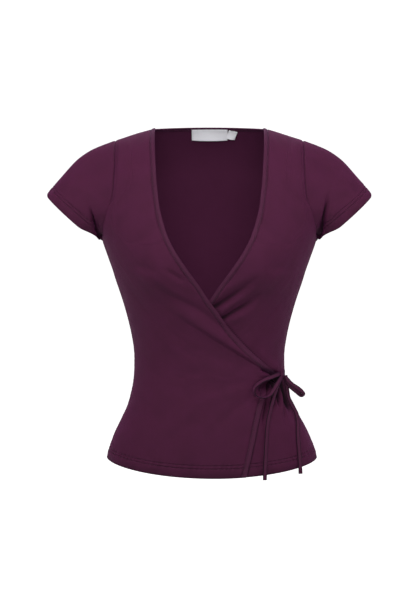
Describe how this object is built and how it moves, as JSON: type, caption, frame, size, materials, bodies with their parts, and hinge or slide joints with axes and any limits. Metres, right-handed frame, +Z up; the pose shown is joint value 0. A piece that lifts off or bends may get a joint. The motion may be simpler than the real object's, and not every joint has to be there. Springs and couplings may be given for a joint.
{
  "type": "wrap top",
  "caption": "Hollow worn wrap top in jersey with crossed fronts tied in a bow at the waist, short set-in sleeves and a V neck.",
  "frame": {"origin": "middle of the shoulder line, level with the neck points, where the wearer's shoulders carry the top", "axes": "+X to the wearer's left, +Y to the wearer's back, +Z up"},
  "size_m": [0.516, 0.2312, 0.5486],
  "materials": {
    "jersey": "fine viscose jersey, matt with a soft sheen",
    "jersey_edge": "folded and topstitched jersey bands and ties",
    "label": "white woven label, bare"
  },
  "bodies": {
    "root": {"back_panel": "jersey", "front_over": "jersey", "front_under": "jersey", "sleeve_left": "jersey", "sleeve_right": "jersey", "neck_band_back": "jersey_edge", "neck_band_over": "jersey_edge", "neck_band_under": "jersey_edge", "skirt_edge_over": "jersey_edge", "skirt_edge_under": "jersey_edge", "tie_knot": "jersey_edge", "tie_side": "jersey_edge", "tie_loop_front": "jersey_edge", "tie_loop_side": "jersey_edge", "tie_tail_front": "jersey_edge", "tie_tail_side": "jersey_edge", "neck_label": "label", "size_tab": "label"}
  },
  "joints": []
}
